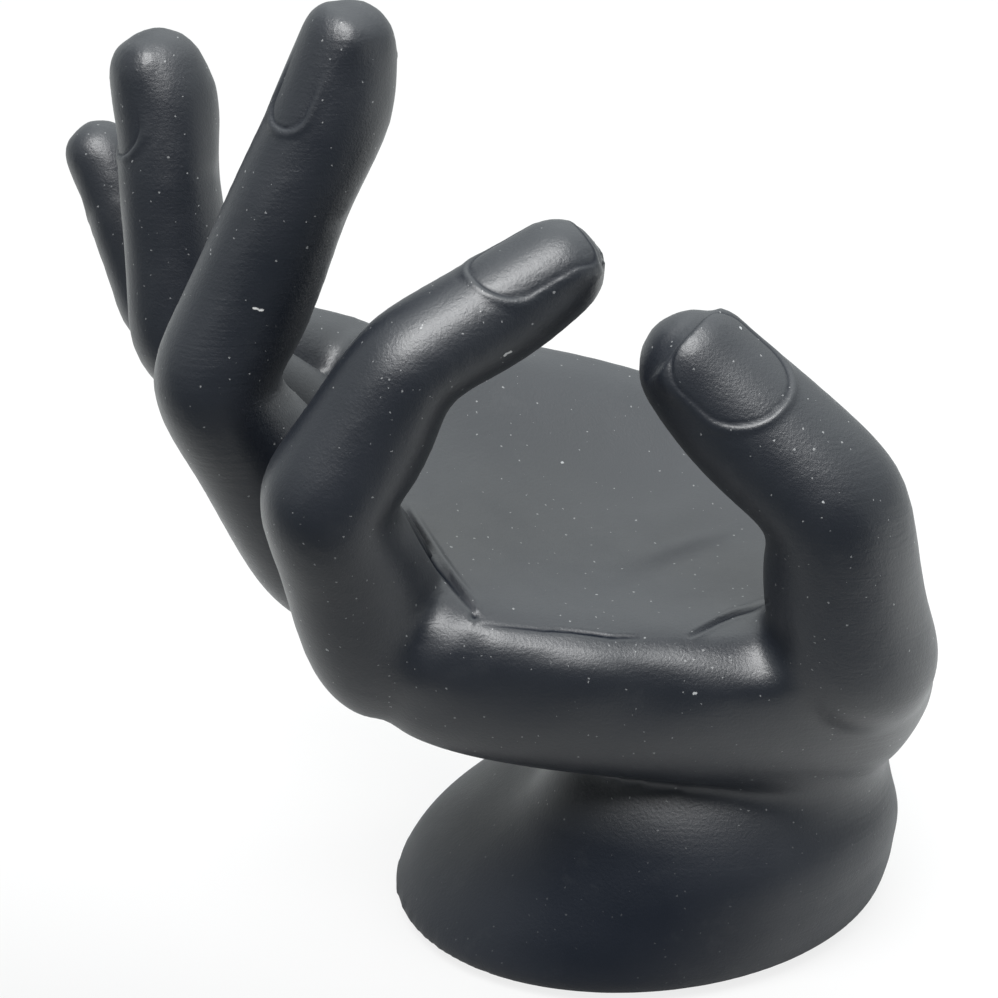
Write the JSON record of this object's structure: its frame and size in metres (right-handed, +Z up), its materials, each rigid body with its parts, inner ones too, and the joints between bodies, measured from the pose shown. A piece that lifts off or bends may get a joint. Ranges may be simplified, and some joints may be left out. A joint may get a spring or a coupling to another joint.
{
  "type": "display hand",
  "caption": "Slender left hand, palm up, bent back over a flared base, with the thumb and index finger curled together to hold rings and small jewellery.",
  "frame": {"origin": "middle of the pad's resting face under the base", "axes": "+X runs from the fingertips towards the heel of the hand, +Y from the thumb side towards the little finger, +Z up"},
  "size_m": [0.1211, 0.0815, 0.1371],
  "materials": {
    "resin": "satin near-black, coloured through",
    "rubber": "matte black rubber sheet"
  },
  "bodies": {
    "root": {"wrist_base": "resin", "palm": "resin", "thumb": "resin", "index_finger": "resin", "middle_finger": "resin", "ring_finger": "resin", "little_finger": "resin", "underside_pad": "rubber"}
  },
  "joints": []
}
